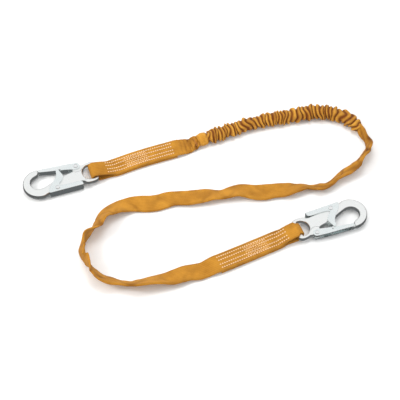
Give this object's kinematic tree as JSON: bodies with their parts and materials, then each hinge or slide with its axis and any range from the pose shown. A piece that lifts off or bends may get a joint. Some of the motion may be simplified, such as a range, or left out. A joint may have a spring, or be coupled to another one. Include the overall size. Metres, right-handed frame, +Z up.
{
  "type": "shock absorbing lanyard",
  "caption": "Webbing fall-protection lanyard with a gathered shock absorber section and a double-locking snap hook sewn into a loop at each end.",
  "frame": {"origin": "middle of the bounding box in plan, on the surface that the lanyard lies on", "axes": "+Z up from the surface; +X along the longer side of the laid-out lanyard, towards the anchor hook; +Y away from the viewer"},
  "size_m": [0.6206, 0.3945, 0.0351],
  "materials": {
    "webbing": "woven tubular webbing, golden orange",
    "jacket": "gathered woven webbing, golden orange",
    "core_fabric": "partially oriented yarn web, off-white",
    "thread": "bonded sewing thread, pale peach",
    "forged_steel": "zinc plated forging, satin",
    "sheet_steel": "zinc plated pressing, satin",
    "rivet_steel": "zinc plated, smooth",
    "spring_steel": "drawn spring wire"
  },
  "bodies": {
    "webbing_harness_end": {"harness_webbing": "webbing", "gathered_jacket": "jacket", "absorber_core": "core_fabric", "absorber_tack_harness": "thread", "harness_stitch_row_1": "thread", "harness_stitch_row_2": "thread", "harness_stitch_row_3": "thread", "harness_stitch_row_4": "thread", "harness_stitch_zigzag": "thread"},
    "webbing_anchor_end": {"anchor_webbing": "webbing", "absorber_tack_anchor": "thread", "anchor_stitch_row_1": "thread", "anchor_stitch_row_2": "thread", "anchor_stitch_row_3": "thread", "anchor_stitch_row_4": "thread", "anchor_stitch_zigzag": "thread"},
    "harness_hook": {"harness_hook_body": "forged_steel", "harness_gate_rivet": "rivet_steel", "harness_gate_spring": "spring_steel", "harness_lock_rivet": "rivet_steel", "harness_lock_spring": "spring_steel"},
    "harness_gate_assembly": {"harness_gate": "sheet_steel", "harness_gate_lock_pin": "rivet_steel"},
    "harness_lock": {"harness_lock_lever": "sheet_steel"},
    "anchor_hook": {"anchor_hook_body": "forged_steel", "anchor_gate_rivet": "rivet_steel", "anchor_gate_spring": "spring_steel", "anchor_lock_rivet": "rivet_steel", "anchor_lock_spring": "spring_steel"},
    "anchor_gate_assembly": {"anchor_gate": "sheet_steel", "anchor_gate_lock_pin": "rivet_steel"},
    "anchor_lock": {"anchor_lock_lever": "sheet_steel"}
  },
  "joints": [
    {"name": "absorber_extension", "type": "slide", "parent": "webbing_harness_end", "child": "webbing_anchor_end", "axis": [0.9957, 0.0928, 0], "range_m": [0, 1.07]},
    {"name": "harness_hook_swing", "type": "hinge", "parent": "webbing_harness_end", "child": "harness_hook", "pos_m": [-0.1853, 0.05031, 0.0093], "axis": [-0.3107, 0.9505, 0], "range_deg": [0, 110]},
    {"name": "harness_gate_hinge", "type": "hinge", "parent": "harness_hook", "child": "harness_gate_assembly", "pos_m": [-0.21909, 0.05872, 0.0093], "axis": [0, 0, 1], "range_deg": [0, 24], "stiffness_Nm_per_rad": 0.15, "springref_deg": -20.05},
    {"name": "harness_lock_hinge", "type": "hinge", "parent": "harness_hook", "child": "harness_lock", "pos_m": [-0.24783, 0.01146, 0.0093], "axis": [0, 0, 1], "range_deg": [0, 8.1], "stiffness_Nm_per_rad": 0.2, "springref_deg": -11.46},
    {"name": "anchor_hook_swing", "type": "hinge", "parent": "webbing_anchor_end", "child": "anchor_hook", "pos_m": [0.16856, -0.07624, 0.0093], "axis": [0.3778, -0.9259, 0], "range_deg": [0, 110]},
    {"name": "anchor_gate_hinge", "type": "hinge", "parent": "anchor_hook", "child": "anchor_gate_assembly", "pos_m": [0.20286, -0.08222, 0.0093], "axis": [0, 0, 1], "range_deg": [0, 24], "stiffness_Nm_per_rad": 0.15, "springref_deg": -20.05},
    {"name": "anchor_lock_hinge", "type": "hinge", "parent": "anchor_hook", "child": "anchor_lock", "pos_m": [0.22814, -0.03302, 0.0093], "axis": [0, 0, 1], "range_deg": [0, 8.1], "stiffness_Nm_per_rad": 0.2, "springref_deg": -11.46}
  ],
  "couplings": [
    {"joint": "harness_lock_hinge", "follows": "harness_gate_hinge", "ratio": 0.3333},
    {"joint": "anchor_lock_hinge", "follows": "anchor_gate_hinge", "ratio": 0.3333}
  ]
}
